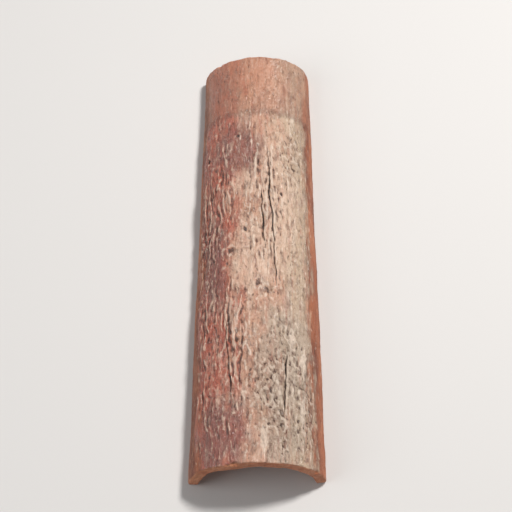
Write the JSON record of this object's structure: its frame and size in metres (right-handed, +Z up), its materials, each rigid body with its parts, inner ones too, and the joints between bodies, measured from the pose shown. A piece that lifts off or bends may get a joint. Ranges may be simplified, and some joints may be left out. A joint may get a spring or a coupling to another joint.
{
  "type": "roman roof tile",
  "caption": "Tapered half-round clay cover tile (imbrex) that laps over the next tile down the slope and covers the joint between pan tiles.",
  "frame": {"origin": "on the floor, under the middle of the tile's footprint", "axes": "+Y runs up the roof slope, from the wide tail to the narrow head; +Z points up through the crown; X runs across"},
  "size_m": [0.1418, 0.5, 0.0639],
  "materials": {
    "fired_clay": "unglazed, weathered, satin to matt"
  },
  "bodies": {
    "root": {"cover_tile": "fired_clay"}
  },
  "joints": []
}
